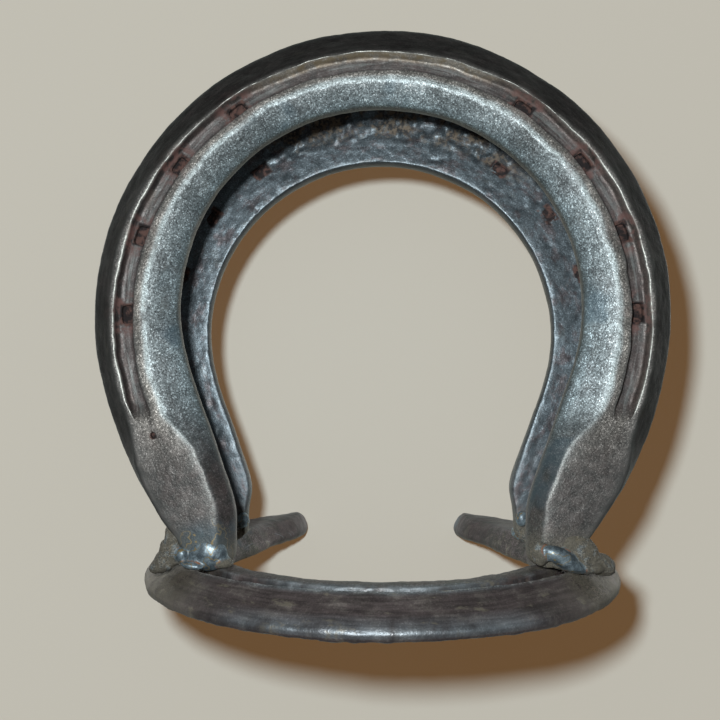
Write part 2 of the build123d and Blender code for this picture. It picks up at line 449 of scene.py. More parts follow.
def zones_of(shoe, shape):
    """For each named stretch of the section, how much every point belongs to it."""
    zones = {}
    for name, first in FIRST_ROW.items():
        mark = np.zeros(shape)
        mark[:, first:first + ROWS[name] + 1] = 1
        zones[name] = spread(mark, 2)
    zones["level"] = np.clip(zones["floor"] + zones["outer_wall"] + zones["inner_wall"], 0, 1)
    zones["fuller"] = zones["level"] * shoe["groove"][:, None]
    return zones


def bench_points(shoe):
    """The grid as points on the bench, with the ends of the heels rounded."""
    grid = shoe["grid"]
    flat = shoe["outer"][:, None, :] + shoe["across"][:, None, :] * grid[:, :, :1]
    gone = np.maximum(shoe["bar"].max() - np.abs(shoe["bar"]), 0)
    nose, blunt = shoe["nose"]
    round_off = np.sqrt(1 - (1 - np.minimum(gone / nose, 1)) ** 2)
    squeeze = (blunt + (1 - blunt) * round_off)[:, None]
    height = THICK / 2 + (grid[:, :, 1] - THICK / 2) * squeeze
    return np.concatenate([flat, height[:, :, None]], axis=2)


def standing_out(shoe, reach):
    """Above zero on edges that stand out, below zero in corners, by this many grid steps."""
    points = shoe["points"]
    inner = (np.roll(points, reach, 1) + np.roll(points, -reach, 1)) / 2 - points
    return -np.sum(inner * shoe["normals"], axis=2) / reach


def crust_of(shoe):
    """The belt of old crust on the hoof face, round the toe of the rear shoe."""
    belt = smooth_step(-shoe["grid"][:, :, 0], -12.4, -9.8) * shoe["zones"]["hoof"]
    return belt * smooth_step(-np.abs(shoe["bar"] - 4), -44, -24)[:, None] * shoe["crusted"]


def bumps(shoe):
    """How far each point is pushed out, before all are drawn in."""
    points, zones, seed = shoe["points"], shoe["zones"], shoe["seed"]
    flat, shape = points.reshape(-1, 3), points.shape[:2]
    hammer = rough_noise(flat, HAMMER_SIZE, seed + 11, 2).reshape(shape) * HAMMER_DEPTH
    scale = rough_noise(flat, SCALE_SIZE, seed + 21, 3).reshape(shape)
    pits = smooth_step(lattice_noise(flat, PIT_SIZE, seed + 31), 0.76, 0.93).reshape(shape)
    rough = 0.07 + 0.16 * zones["hoof"] + 0.12 * zones["fuller"] + 0.05 * zones["flare"]
    rough = rough + shoe["rougher"]
    lumps = smooth_step(lattice_noise(flat, LUMP_SIZE, seed + 41), 0.35, 0.7).reshape(shape)
    crust = crust_of(shoe) * (0.42 - 0.7 * lumps)
    return hammer + scale * rough - pits * (0.07 + 0.14 * zones["hoof"]) - crust


def make_shoe(name):
    """The finished mesh object of one shoe, in its place."""
    shoe = SHOES[name]
    points = bench_points(shoe) @ shoe["turn"] + shoe["origin"]
    rings, around = points.shape[:2]
    piece = made(name + "_forged", points.reshape(-1, 3), tube_faces(rings, around))
    piece.data.validate()
    piece.data.update()
    shoe["points"], shoe["zones"] = points, zones_of(shoe, (rings, around))
    shoe["normals"] = read_points(piece.data, "normal").reshape(points.shape)
    push = bumps(shoe)
    push -= push.max()
    move_points(piece.data, points + shoe["normals"] * push[:, :, None])
    return piece


pieces = {}
for shoe_name in SHOES:
    pieces[shoe_name] = make_shoe(shoe_name)
    print(shoe_name, "skin of", len(pieces[shoe_name].data.polygons), "faces")

# %% [markdown]
# ## What time left on the steel
# Rust starts in the nail holes and the fuller and on the heels near the welds, because water
# sits there. Dust lies on the outer ends of the base, and grit baked on around the welds. The
# numbers are worked out here, in the places where they belong on this holder, and break up
# into spots in the material.

# %% Where the nail holes are
NAIL_STEP, NAILS_PER_SIDE = math.radians(18.4), 4
NAIL_LINE = 2.2         # rim line to the middle of a nail hole


def nail_places(shoe):
    """Centre and angle on the bench of every nail hole."""
    radius = shoe["radius"] - RIM_LINE - NAIL_LINE
    found = []
    for number in range(NAILS_PER_SIDE):
        for angle in (number * NAIL_STEP, math.pi - number * NAIL_STEP):
            found.append((radius * math.cos(angle), radius * math.sin(angle) - TOE_SHIFT, angle))
    return found


print("nail holes per shoe:", len(nail_places(SHOES["front_shoe"])))

# %% Notes on wear, grime, rust and dust
RUST_HALO = 6.5
BLUED_SPOT, BLUED_REACH = (-37.0, -31, 11.0), 8.6       # the left heel of the front shoe
GRIT_SPOTS, GRIT_REACH = (((-44, -30, 8), 0.55), ((44, -30, 8), 1.0)), 12


def near(points, spot, reach):
    """1 at a spot in the room, falling to 0 at reach."""
    return 1 - smooth_step(np.linalg.norm(points - np.array(spot), axis=-1), reach * 0.35, reach)


def band(row, reach):
    """1 on one row of points, falling to 0 within reach rows of it."""
    return np.clip(1 - np.abs(ALL_ROWS - row) / reach, 0, 1)[None, :]


def section_notes(name, shoe):
    """What the place in the section says about a point."""
    zones, groove, heel = shoe["zones"], shoe["groove"][:, None], shoe["heel_mask"][:, None]
    fine, broad = standing_out(shoe, 2), standing_out(shoe, 5)
    leftwards = -shoe["points"][:, :, 0]
    left = smooth_step(leftwards, 20, 50) if name == "front_shoe" else 0.3
    # Painted shade lines in the two corners of the fuller; the one by the outer wall is strongest
    # on the left flank of the front shoe.
    fuller_shade_line = band(FIRST_ROW["inner_wall"] + 3, 2.6)
    fuller_shade_line = fuller_shade_line + band(FIRST_ROW["outer_wall"] + 4, 3) * left * 0.8
    far_side = FIRST_ROW["wall"] + 1 if name == "rear_shoe" else FIRST_ROW["hoof_corner"]
    whole = {key: zones[key] for key in ("rim", "level", "fuller", "lip", "slope", "wall", "hoof")}
    whole["flare"] = zones["flare"] + (zones["edge"] + zones["corner"])
    # The rim and fuller, where the base's toe gets part of its painted sheen.
    whole["ground"] = zones["rim"] + zones["fuller"]
    whole["worn"] = fine * 9 + broad * 1.2
    # Painted shade: how concave the surface is, darkened later in the material.
    whole["hollow_shade"] = -fine * 7 - broad * 1.5
    return {
        **{key: np.clip(values, 0, 1) for key, values in whole.items()},
        "heel": heel,
        "rim_edge": band(FIRST_ROW["outer_wall"] - 0.5, 3.4) * groove,
        "rim_line": band(FIRST_ROW["outer_wall"], 2.3) * groove,
        # Painted highlight: a tan line on the rounded far corner of the inner wall, where it faces
        # the lamp.
        "wall_corner_highlight": band(far_side, 3.2),
        "fuller_shade_line": fuller_shade_line * groove * shoe["fuller_shade_strength"],
        # The low band of the outer edge, where the base's toe gets its painted sheen.
        "low": band(4, 9),
        "leftward": smooth_step(leftwards, -5, 5),
        "outer": zones["outer_wall"] * groove * (1 - 0.7 * left),
        "streak": band(FIRST_ROW["floor"] + 4, 3.2) * groove,
        "crusted": crust_of(shoe),
        # The top of the ridge, for its bare metal and its painted highlight.
        "ridge_wear_and_highlight": band(FIRST_ROW["ridge"] + 2.5, 3.6) * (1 - 0.5 * heel),
        "toe": smooth_step(32 - np.abs(shoe["bar"]), 0, 14)[:, None],
        "inward": np.clip((ALL_ROWS - FIRST_ROW["slope"]) / ROWS["slope"], 0, 1)[None, :],
        "bar": shoe["bar"][:, None] * MM,
        "across": shoe["grid"][:, :, 0] * MM,
    }


def weather_notes(name, shoe):
    """Rust, dust, grit and heat, which depend on the place on the holder."""
    points, zones = shoe["points"], shoe["zones"]
    x, y, height = np.moveaxis(points, 2, 0)
    rust = 0.14 * shoe["heel_mask"][:, None] + 0.2 * zones["fuller"]
    for u, v, _ in nail_places(shoe):
        spot = np.array([u, v, THICK - FULLER_DEPTH]) @ shoe["turn"] + shoe["origin"]
        rust = np.maximum(rust, near(points, spot, RUST_HALO) * (zones["fuller"] + 0.3))
    if shoe["lies"]:
        dust = smooth_step(np.abs(x), 30, 54) * (0.3 + 0.7 * (1 - zones["hoof"]))
        dust = dust + 0.2 * smooth_step(height, 6.0, 8.0) * (1 - zones["flare"])
        dust = dust * (1 - 0.75 * smooth_step(y, -6, 8))
        grit = np.max([near(points, spot, GRIT_REACH) * much for spot, much in GRIT_SPOTS], axis=0)
    else:
        dust = 0.6 * smooth_step(-height, -16, -8)
        grit = smooth_step(-height, -19, -9)
    if name == "front_shoe":
        grit = grit * np.where(x > 0, 1.0, 0.35)
    blued = near(points, BLUED_SPOT, BLUED_REACH) if name == "front_shoe" else 0.0
    return {"rust": np.clip(rust, 0, 1), "dust": np.clip(dust, 0, 1),
            "grit": np.clip(grit, 0, 1), "blued": blued}


for shoe_name, facts in SHOES.items():
    notes = section_notes(shoe_name, facts) | weather_notes(shoe_name, facts)
    for key, values in notes.items():
        note(pieces[shoe_name].data, key, np.broadcast_to(values, facts["zones"]["rim"].shape))
    print(shoe_name, "notes:", len(notes))

# %% [markdown]
# ## Nail holes
# Each hole is punched through the bottom of the fuller and tapers towards the hoof. On this
# holder they are choked with rust and dirt almost to the brim, so each one is cut as a shallow
# pocket from the ground face and another from the hoof face, with the dirt left between. The
# cutter is one mesh of small tapered blocks with rounded corners, taken away in a single exact
# cut.

# %% Cut the nail holes
HOLE_LENGTH, HOLE_WIDTH = 4.3, 2.8
FILL_LOW, FILL_HIGH = 0.42, 6.2     # the dirt lies between these heights
SHARP = math.radians(50)
PIT = (-48.2, -27.7)    # a pit in the left heel of the front shoe


def rounded_ring(length, width, count=16):
    """Corner points of a rounded oblong."""
    angle = np.arange(count) * 2 * math.pi / count + math.pi / count
    ring = np.stack([np.cos(angle), np.sin(angle)], 1)
    ring = np.sign(ring) * np.abs(ring) ** 0.45
    return ring * [width / 2, length / 2]


def pocket(centre, angle, levels, sizes):
    """Points and faces of one tapered block between two levels."""
    verts = []
    for level, share in zip(levels, sizes):
        ring = rounded_ring(HOLE_LENGTH * share, HOLE_WIDTH * share)
        spun = np.stack([ring[:, 0] * math.cos(angle) - ring[:, 1] * math.sin(angle),
                         ring[:, 0] * math.sin(angle) + ring[:, 1] * math.cos(angle)], 1)
        verts += [(x + centre[0], y + centre[1], level) for x, y in spun]
    return verts, [face[::-1] for face in tube_faces(2, len(verts) // 2)]


def mark_fill(name):
    """Writes down which points are the dirt inside the nail holes."""
    shoe, mesh = SHOES[name], pieces[name].data
    bench = (read_points(mesh) / MM - shoe["origin"]) @ shoe["turn"].T
    fill = np.zeros(len(bench))
    for x, y, angle in nail_places(shoe):
        away = bench[:, :2] - [x, y]
        side = np.abs(away @ [math.cos(angle), math.sin(angle)])
        along = np.abs(away @ [-math.sin(angle), math.cos(angle)])
        inside = (side < HOLE_WIDTH * 0.575) & (along < HOLE_LENGTH * 0.575)
        deep = (bench[:, 2] < FILL_HIGH) & (bench[:, 2] > FILL_LOW)
        fill[inside & deep] = 1
    if name == "front_shoe":
        fill[np.hypot(*(bench[:, :2] - PIT).T) < 0.8] = 1
    note(mesh, "fill", fill)
    return int(fill.sum())


def punch(name):
    """Cuts the pockets of all the nail holes of one shoe."""
    shoe, verts, faces, cuts = SHOES[name], [], [], []
    rng = np.random.default_rng(shoe["seed"])
    for x, y, angle in nail_places(shoe):
        lean = angle + rng.normal(0, 0.05)
        grow = rng.uniform(0.9, 1.08)
        cuts += [((x, y), lean, (rng.uniform(4.6, 5.0), 8.6), (0.92 * grow, 1.04 * grow)),
                 ((x, y), lean, (-0.6, rng.uniform(0.7, 1.1)), (0.84, 0.8))]
    if name == "front_shoe":
        cuts.append((PIT, 0.3, (7.1, 8.6), (0.26, 0.4)))
    for cut_values in cuts:
        more, cut = pocket(*cut_values)
        faces += [tuple(v + len(verts) for v in face) for face in cut]
        verts += more
    cutter = made("punch", np.array(verts) @ shoe["turn"] + shoe["origin"], faces)
    cut = pieces[name].modifiers.new("nail_holes", "BOOLEAN")
    cut.object, cut.operation, cut.solver = cutter, "DIFFERENCE", "EXACT"
    settle(pieces[name]).set_sharp_from_angle(angle=SHARP)
    bpy.data.objects.remove(cutter)


for shoe_name in SHOES:
    punch(shoe_name)
    print(shoe_name, "dirt points:", mark_fill(shoe_name),
          "faces:", len(pieces[shoe_name].data.polygons))

# %% [markdown]
# ## Weld metal
# Stick welding leaves drops that ran together in the corner between heel and base and froze
# smooth. Each run starts as a handful of overlapping drops, laid along the joint. A voxel
# remesh melts them into one skin and smoothing lets them flow into each other, which is how
# the real metal behaved. In the runs that show from the front the drops stand where they
# froze on this holder; in the others they are scattered from a seed.

# %% Melt the weld runs
WELDS = sorted(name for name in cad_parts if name.startswith("weld_"))
MELT_SIZE, LOWEST = 0.26, 0.4        # grain of the melt; no drop hangs below this height
JOINT_HEIGHT, JOINT_MARGIN, DROP_STEP = 9.2, 2.0, 2.4
DROPS = {               # place along x, out of the face, height; three sizes; lean; 1 if smooth
    "weld_front_left_outer": [
        (36.8, -1.9, 10.6, 4.6, 2.3, 3.6, 8, 1), (41.8, -0.8, 10.6, 1.5, 1.5, 1.6, 0, 1),
        (39.4, 0.3, 8.5, 2.6, 1.0, 0.8, 10, 1), (43.9, -2.2, 12.4, 1.7, 2.3, 4.6, -16, 0),
        (44.8, -2.5, 10.6, 2.1, 2.6, 3.0, -28, 0), (45.6, -2.8, 9.0, 2.5, 2.9, 2.3, -36, 0),
        (46.6, -3.2, 8.0, 2.8, 2.9, 1.5, -20, 0),
        (33.6, -1.8, 8.8, 2.8, 1.9, 1.3, 0, 0),
    ],
    "weld_front_right_outer": [
        (36.8, 0.6, 11.0, 3.7, 1.7, 1.8, -22, 1), (38.8, 0.9, 9.3, 3.3, 1.5, 1.2, -20, 1),
        (33.2, -0.3, 11.2, 2.0, 1.6, 2.6, 0, 0), (41.4, -1.3, 11.8, 4.6, 2.0, 3.2, -34, 0),
        (45.2, -2.8, 8.9, 3.6, 2.4, 2.0, -36, 0), (46.9, -3.0, 8.6, 2.7, 2.6, 1.9, -38, 0),
        (40.8, -1.0, 8.6, 5.8, 2.6, 1.3, -4, 0),
    ],
    "weld_rear_left_slot": [
        (35.0, 0.0, 12.8, 1.7, 1.6, 2.1, -8, 1), (39.8, -0.9, 9.4, 5.0, 2.2, 2.6, 0, 0),
    ],
    "weld_rear_right_slot": [
        (35.8, 0.0, 13.4, 1.6, 1.5, 2.0, -8, 1), (39.8, -0.9, 9.4, 5.0, 2.2, 2.6, 0, 0),
    ],
}


def drops_of(name, rng):
    """Centre, sizes, lean and smoothness of every drop of one run, in the room."""
    _, place, hand, kind = name.split("_")
    side = -1 if hand == "left" else 1
    outward = -1 if (place == "front") == (kind == "outer") else 1
    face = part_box(place + "_shoe")[0 if outward < 0 else 1][1] / MM
    if name in DROPS:
        for x, out, z, a, b, c, lean, smooth in DROPS[name]:
            middle = np.array([side * x, face + outward * out, z])
            yield middle, np.array([a, b, c]), math.radians(lean * side), smooth
        return
    low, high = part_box(name)
    start, end = sorted((abs(low[0]) / MM, abs(high[0]) / MM))
    start += JOINT_MARGIN                        # the drops keep to the heel itself
    middle = np.array([side * (start + end) / 2, face - outward * 0.6, JOINT_HEIGHT])
    yield middle, np.array([(end - start) / 2 - 1, 2.2, 2.8]), 0, 0
    for x in np.arange(start + 2.6, end - 1.8, DROP_STEP):
        size = rng.uniform(1.7, 2.5, 3) * (1.0, 0.85, 1.0)
        middle = np.array([side * x, face + outward * rng.uniform(0.1, 0.7),
                           rng.uniform(8.6, 10.4)])
        yield middle, size, 0, 1


def own_axes(offsets, lean):
    """Offsets from a drop's centre, turned back to the drop's own axes."""
    x, y, z = offsets.T
    return np.stack([x * math.cos(lean) + z * math.sin(lean), y,
                     z * math.cos(lean) - x * math.sin(lean)], 1)


def drop_mesh(drops):
    """Points and faces of all drops, each a ball of its own."""
    ring = np.arange(24) * math.pi / 12
    tilt = np.linspace(0.12, math.pi - 0.12, 13)
    ball = np.array([(math.sin(t) * math.cos(r), math.sin(t) * math.sin(r), math.cos(t))
                     for t in tilt for r in ring])
    verts, faces = [], []
    for centre, size, lean, _ in drops:
        faces += tube_faces(len(tilt), len(ring), len(verts))
        verts += (own_axes(ball * size, -lean) + centre).tolist()
    return verts, faces


def weld_run(name, seed):
    """One run of drops melted together, in the place of its packed bead."""
    drops = list(drops_of(name, np.random.default_rng(900 + seed)))
    piece = made(name + "_run", *drop_mesh(drops))
    melt = piece.modifiers.new("melt", "REMESH")
    melt.mode, melt.voxel_size = "VOXEL", MELT_SIZE * MM
    flow = piece.modifiers.new("flow", "SMOOTH")
    flow.factor, flow.iterations = 0.6, 14
    done = settle(piece)
    points, normals = read_points(done) / MM, read_points(done, "normal")
    away = [np.linalg.norm(own_axes(points - centre, lean) / size, axis=1)
            for centre, size, lean, smooth in drops if smooth]
    crust = smooth_step(np.min(away, axis=0), 1.0, 1.2)
    push = rough_noise(points, 3.0, 700 + seed, 2) * (0.18 + 0.27 * crust)
    fine = rough_noise(points, 0.8, 800 + seed, 2) * (0.06 + 0.16 * crust)
    points = points + normals * (push + fine)[:, None]
    points[:, 2] = np.maximum(points[:, 2], LOWEST)
    note(done, "crust", crust)
    move_points(done, points)
    return piece


for number, weld_name in enumerate(WELDS):
    pieces[weld_name] = weld_run(weld_name, number)
    print(weld_name, "faces:", len(pieces[weld_name].data.polygons))

# %% [markdown]
# ## Material helpers
# A material here is a short recipe: coats of colour laid over each other, each broken up by
# noise. Small helpers keep such a recipe readable. Where they take a share, a name in quotes
# stands for a note that the mesh carries. Noise that follows the bar is stretched along it,
# because rolling and filing leave marks that way.

# %% Node helpers


class Nodes:
    """Fills one node tree."""

    def __init__(self, tree):
        self.tree = tree

    def add(self, kind, values=(), **settings):
        """A node with its settings; the values fill its inputs in order or by name."""
        node = self.tree.nodes.new("ShaderNode" + kind)
        for key, value in settings.items():
            setattr(node, key, value)
        for key, value in values.items() if isinstance(values, dict) else enumerate(values):
            self.join(value, node.inputs[key])
        return node

    def join(self, value, socket):
        """Links a note, a node or an output, or writes a number or a colour."""
        if isinstance(value, str):
            value = self.add("Attribute", attribute_name=value).outputs["Fac"]
        if isinstance(value, bpy.types.Node):
            value = value.outputs[0]
        if isinstance(value, bpy.types.NodeSocket):
            self.tree.links.new(value, socket)
        elif socket.type == "RGBA":
            socket.default_value = (*value, 1.0)
        else:
            socket.default_value = value

    def math(self, kind, a, b, clamp=True):
        return self.add("Math", (a, b), operation=kind, use_clamp=clamp)

    def times(self, share, *others):
        """Shares multiplied with each other."""
        for other in others:
            share = self.math("MULTIPLY", share, other)
        return share

    def most(self, share, *others):
        """The largest of some shares."""
        for other in others:
            share = self.math("MAXIMUM", share, other)
        return share

    def less(self, share, other):
        return self.math("SUBTRACT", share, other)

    def range(self, value, low, high, start=0.0, end=1.0, kind="SMOOTHSTEP"):
        """Turns low to high into start to end."""
        return self.add("MapRange", (value, low, high, start, end), interpolation_type=kind)

    def blend(self, share, under, over, kind="MIX"):
        values = {"Factor": share, "A": under, "B": over}
        return self.add("Mix", values, data_type="RGBA", blend_type=kind).outputs["Result"]


class Recipe(Nodes):
    """A metal with one Principled surface, built coat by coat."""

    def __init__(self, name):
        self.material = bpy.data.materials.new(name)
        self.material.use_nodes = True
        super().__init__(self.material.node_tree)
        self.place = self.add("TexCoord").outputs["Object"]
        self.colour = None

    def coat(self, over, *shares, kind="MIX"):
        """Lays a colour over what is there, as thickly as the product of the shares."""
        self.colour = self.blend(self.times(*shares), self.colour, over, kind)

    def shade(self, share, value, low, high, start, end):
        """Darkens and brightens what is there by a pattern."""
        pattern = self.range(value, low, high, start, end)
        self.coat(self.add("CombineColor", (pattern, pattern, pattern)), share, kind="MULTIPLY")

    def noise(self, size, detail=3.0, roughness=0.55, where=None, warp=0.0):
        values = {"Vector": where or self.place, "Scale": 1 / (size * MM), "Detail": detail,
                  "Roughness": roughness, "Distortion": warp}
        return self.add("TexNoise", values).outputs["Fac"]

    def cells(self, size):
        """Small crystals, each with a number of its own."""
        values = {"Vector": self.place, "Scale": 1 / (size * MM)}
        return self.add("TexVoronoi", values).outputs["Color"]

    def thread(self, size):
        """Thin wandering lines, where a noise crosses its middle."""
        away = self.math("SUBTRACT", self.noise(size, 2.0), 0.5, False)
        return self.range(self.math("ABSOLUTE", away, 0.0), 0.014, 0.006)

    def along_bar(self, stretch):
        """A place on the bar, squeezed so that noise comes out long and thin."""
        return self.add("CombineXYZ", (self.math("DIVIDE", "bar", stretch, False), "across"))

    def relief(self, *layers):
        """Bumps on top of each other: what makes them, how strongly and how deeply."""
        under = {}
        for height, strength, depth in layers:
            values = {"Strength": strength, "Distance": depth * MM, "Height": height, **under}
            under = {"Normal": self.add("Bump", values)}
        return under["Normal"]

    def finish(self, roughness, metallic, normal):
        shader = self.tree.nodes["Principled BSDF"]
        for name, value in (("Base Color", self.colour), ("Roughness", roughness),
                            ("Metallic", metallic), ("Normal", normal)):
            self.join(value, shader.inputs[name])
        return self.material


def tone(red, green, blue):
    """A colour as a screen shows it, from 0 to 255, turned into the light it gives."""
    return tuple(((v / 255 + 0.055) / 1.055) ** 2.4 if v > 10 else v / 3294
                 for v in (red, green, blue))


def dress(name, material):
    """Puts a material on a piece."""
    pieces[name].data.materials.clear()
    pieces[name].data.materials.append(material)


print("steel grey:", [round(v, 3) for v in tone(120, 138, 148)])

# %% [markdown]
# ## Shoe steel
# New keg shoes are blue-grey from the rolls. Use has polished the inner edge of the rim almost
# white and worn the ridge bare, and the ridge also carries a painted highlight. The hollow side
# is painted bright blue-grey as a painted reflection of the room, fading inwards from the ridge,
# with painted glints, and the sloped outer edge is coloured nearly black. One recipe makes all
# three shoes, with each shoe's own colours and amounts.

# %% Each shoe's colours and amounts
COLUMNS = ("front_shoe", "rear_shoe", "base_shoe")
TONES = {
    "flare": ((48, 45, 45), (52, 52, 54), (126, 119, 116)),
    # The base's pale rim and fuller are partly painted sheen, where its ground face is seen at a
    # grazing angle.
    "rim": ((142, 140, 137), (88, 88, 88), (196, 200, 200)),
    "fuller": ((112, 110, 110), (92, 90, 90), (134, 138, 142)),
    "outer": ((122, 116, 112), (80, 78, 76), (90, 88, 82)),
    "outer_toe": ((196, 192, 182), (80, 78, 76), (120, 126, 130)),
    "lip": ((134, 132, 128), (110, 110, 108), (84, 84, 80)),
    # The hollow side runs from its slope colour by the ridge to its deep colour further in: a
    # painted highlight falling off from the ridge, and a painted reflection of the room in the
    # blue-grey.
    "slope": ((153, 164, 168), (130, 138, 142), (84, 84, 82)),
    "deep": ((112, 127, 133), (90, 100, 106), (84, 82, 76)),
    "hoof": ((90, 98, 102), (92, 103, 110), (70, 70, 72)),
    "heel": ((106, 106, 105), (96, 102, 104), (64, 62, 58)),
    # The rear shoe's inner wall is coloured near black as painted shade.
    "wall": ((70, 70, 66), (34, 33, 33), (80, 76, 68)),
    "bright": ((158, 170, 170), (170, 184, 190), (150, 160, 168)),
    "patch": ((92, 84, 84), (84, 75, 77), (94, 85, 86)),
}
AMOUNTS = {
    "patchy": (0.25, 0.25, 0.85), "clean": (0.48, 0.48, 0.36), "wear": (0.6, 0.22, 0.2),
    "line": (0.9, 0.5, 0.55), "rusty": (0.85, 0.9, 0.3), "speck": (1.0, 0.75, 0.8),
    # sheen is how strongly the painted highlight lies on the toe of the base.
    "gloss": (0.40, 0.36, 0.36), "scuffed": (0.1, 0.1, 1.0), "sheen": (0.0, 0.0, 0.8),
    "tarnish": (0.1, 0.0, 0.6),
}


def look_of(name):
    """One shoe's column of both tables."""
    column = COLUMNS.index(name)
    look = {zone: tone(*tones[column]) for zone, tones in TONES.items()}
    return look | {key: amounts[column] for key, amounts in AMOUNTS.items()}


class Steel(Recipe):
    """A recipe with one shoe's look and the patterns that all its coats share."""

    def __init__(self, name):
        super().__init__(name + "_steel")
        self.look = look_of(name)
        self.blotch = self.noise(8.0, 5.0, 0.6, warp=0.6)
        self.cloud = self.noise(2.2, 4.0, 0.6)
        self.grain = self.noise(0.5, 2.0, 0.6)
        self.speck = self.cells(0.23)
        self.streak = self.noise(0.7, 3.0, 0.6, where=self.along_bar(16.0))


print("colours and amounts in a look:", len(look_of("front_shoe")))

# %% [markdown]
# ## Coats of clean and worn steel
# First every stretch of the section gets its clean colour, with the heels in their own, and the
# hollow side a painted highlight and a painted reflection. Thin brown scale lies in patches, the
# toe of the base gets a painted sheen, and grain, crystals with painted glints and rolling marks
# give the steel its life. Painted shade lines follow the corners of the fuller. Last comes bare
# metal wherever hands, cards and files have rubbed it, with a painted highlight on the ridge and
# a painted highlight line on the far corner of the inner wall.

# %% Clean zones, grain with painted glints, and wear with painted highlights


def clean_zones(mix):
    """The clean colour of every zone before wear and dirt, with painted light on the hollow side.
    """
    look = mix.look
    # The hollow side: a painted highlight next to the ridge that fades inwards, and a painted
    # reflection of the room in its blue-grey.
    halfway = mix.blend(0.45, look["slope"], look["deep"])
    slope = mix.blend(mix.range("inward", 0.0, 0.45), look["slope"], halfway)
    slope = mix.blend(mix.range("inward", 0.4, 1.0), slope, look["deep"])
    mix.colour = look["hoof"]
    for zone, own in (("wall", look["wall"]), ("slope", slope), ("flare", look["flare"]),
                      ("rim", look["rim"]), ("lip", look["lip"]), ("level", look["lip"]),
                      ("fuller", look["fuller"])):
        mix.coat(own, zone)
    mix.coat(look["heel"], mix.less("heel", mix.most("hoof", "flare", "slope")))
    heel_slope = mix.blend("leftward", tone(76, 74, 70), tone(56, 44, 42))
    mix.coat(heel_slope, "heel", "slope", 0.85)
    mix.coat((1.3, 1.3, 1.3), "toe", "slope", kind="MULTIPLY")
    mix.coat(mix.blend("toe", look["outer"], look["outer_toe"]), "outer")


def scale_and_painted_sheen(mix):
    """Brown scale in patches, and a painted blue sheen on the toe of the base."""
    look, clean = mix.look, mix.look["clean"]
    patch = mix.range(mix.noise(3.6, 5.0, 0.7, where=mix.along_bar(1.8)), clean, clean + 0.16)
    mix.coat(look["patch"], patch, mix.most(mix.times("hoof", 0.7), look["patchy"]))
    # Painted highlight: a blue sheen on the low edge and the ground face of the base's toe.
    mix.coat(tone(136, 148, 156), mix.most("low", "ground"), "toe",
             mix.range(mix.blotch, 0.3, 0.55, 0.4, 1.0), look["sheen"])


def grain_and_glints(mix):
    """Light and dark grain in the steel with painted glints, finest on the hollow side."""
    smooth = mix.most("flare", "fuller")
    grain_and_glint_share = mix.look["speck"]
    for zone, dulled in ((smooth, 0.6), ("hoof", 0.2), ("heel", 0.45)):
        grain_and_glint_share = mix.less(grain_and_glint_share, mix.times(zone, dulled))
    mix.shade(1.0, mix.blotch, 0.25, 0.75, 0.74, 1.22)
    mix.shade(mix.less(1.0, smooth), mix.cloud, 0.3, 0.7, 0.8, 1.14)
    mix.shade(grain_and_glint_share, mix.grain, 0.3, 0.7, 0.8, 1.2)
    mix.shade(grain_and_glint_share, mix.speck, 0.05, 0.75, 0.45, 1.3)
    # Painted glints: the brightest crystals are made much lighter.
    mix.shade(grain_and_glint_share, mix.speck, 0.7, 0.9, 1.0, 2.3)
    mix.shade(mix.most(smooth, 0.2), mix.streak, 0.3, 0.7, 0.68, 1.3)


def marks_and_fuller_shade(mix):
    """Scratches, blue tints, a pale yellow coat at the toe of the fuller, and painted shade lines
    in it.
    """
    scratch = mix.noise(0.34, 1.0, 0.5, where=mix.along_bar(26.0))
    lines = mix.times(mix.range(scratch, 0.68, 0.76), "slope", mix.range(mix.blotch, 0.45, 0.6))
    lines = mix.most(lines, mix.times("streak", mix.range(mix.streak, 0.45, 0.6)))
    mix.coat(mix.look["bright"], lines, 0.45)
    mix.coat(tone(84, 116, 134), mix.range(mix.noise(11.0, 2.0, 0.5), 0.56, 0.68), "slope", 0.35)
    mix.coat(tone(168, 156, 124), "toe", "outer", mix.range(mix.cloud, 0.4, 0.6), 0.8)
    # Painted shade: dark lines in the corners of the fuller.
    mix.coat(tone(34, 26, 28), "fuller_shade_line", mix.range(mix.cloud, 0.2, 0.45, 0.65, 1.0), 0.9)


def wear_and_highlights(mix):
    """Bare metal and a painted highlight on the ridge; bare metal on the rim and all raised edges.
    """
    # On the ridge the bright coat is worn bare metal and a painted highlight together.
    wear = mix.times(mix.most("ridge_wear_and_highlight", "rim_edge"),
                     mix.range(mix.blotch, 0.25, 0.6, 0.55, 1.0),
                     mix.range(mix.grain, 0.25, 0.55, 0.35, 1.0),
                     mix.range(mix.speck, 0.2, 0.6, 0.5, 1.0))
    mix.coat(mix.look["bright"], mix.most(wear, mix.times("worn", 0.3)), mix.look["wear"],
             mix.less(1.0, "wall"))
    mix.coat(tone(222, 226, 220), "rim_line", mix.range(mix.grain, 0.35, 0.5, 0.25, 1.0),
             mix.range(mix.blotch, 0.25, 0.5, 0.5, 1.0), mix.look["line"])
    # Painted highlight: a tan line on the far corner of the inner wall.
    mix.coat(tone(112, 106, 92), "wall_corner_highlight", 0.75)


CLEAN_COATS = (clean_zones, scale_and_painted_sheen, grain_and_glints, marks_and_fuller_shade, wear_and_highlights)
print("coats of clean steel:", [coat.__name__ for coat in CLEAN_COATS])

# %% [markdown]
# ## Coats of painted shade, rust and dirt
# Painted shade darkens the hollows and corners, such as the walls of the fuller. Rust blooms in
# the nail holes, the heat of welding blued one heel, and dust and grit lie round the welds and
# on the ends of the base. Rust and dirt are dull, so their functions give back where they lie,
# and the steel is made rough and less metallic there.

# %% Mix the steel


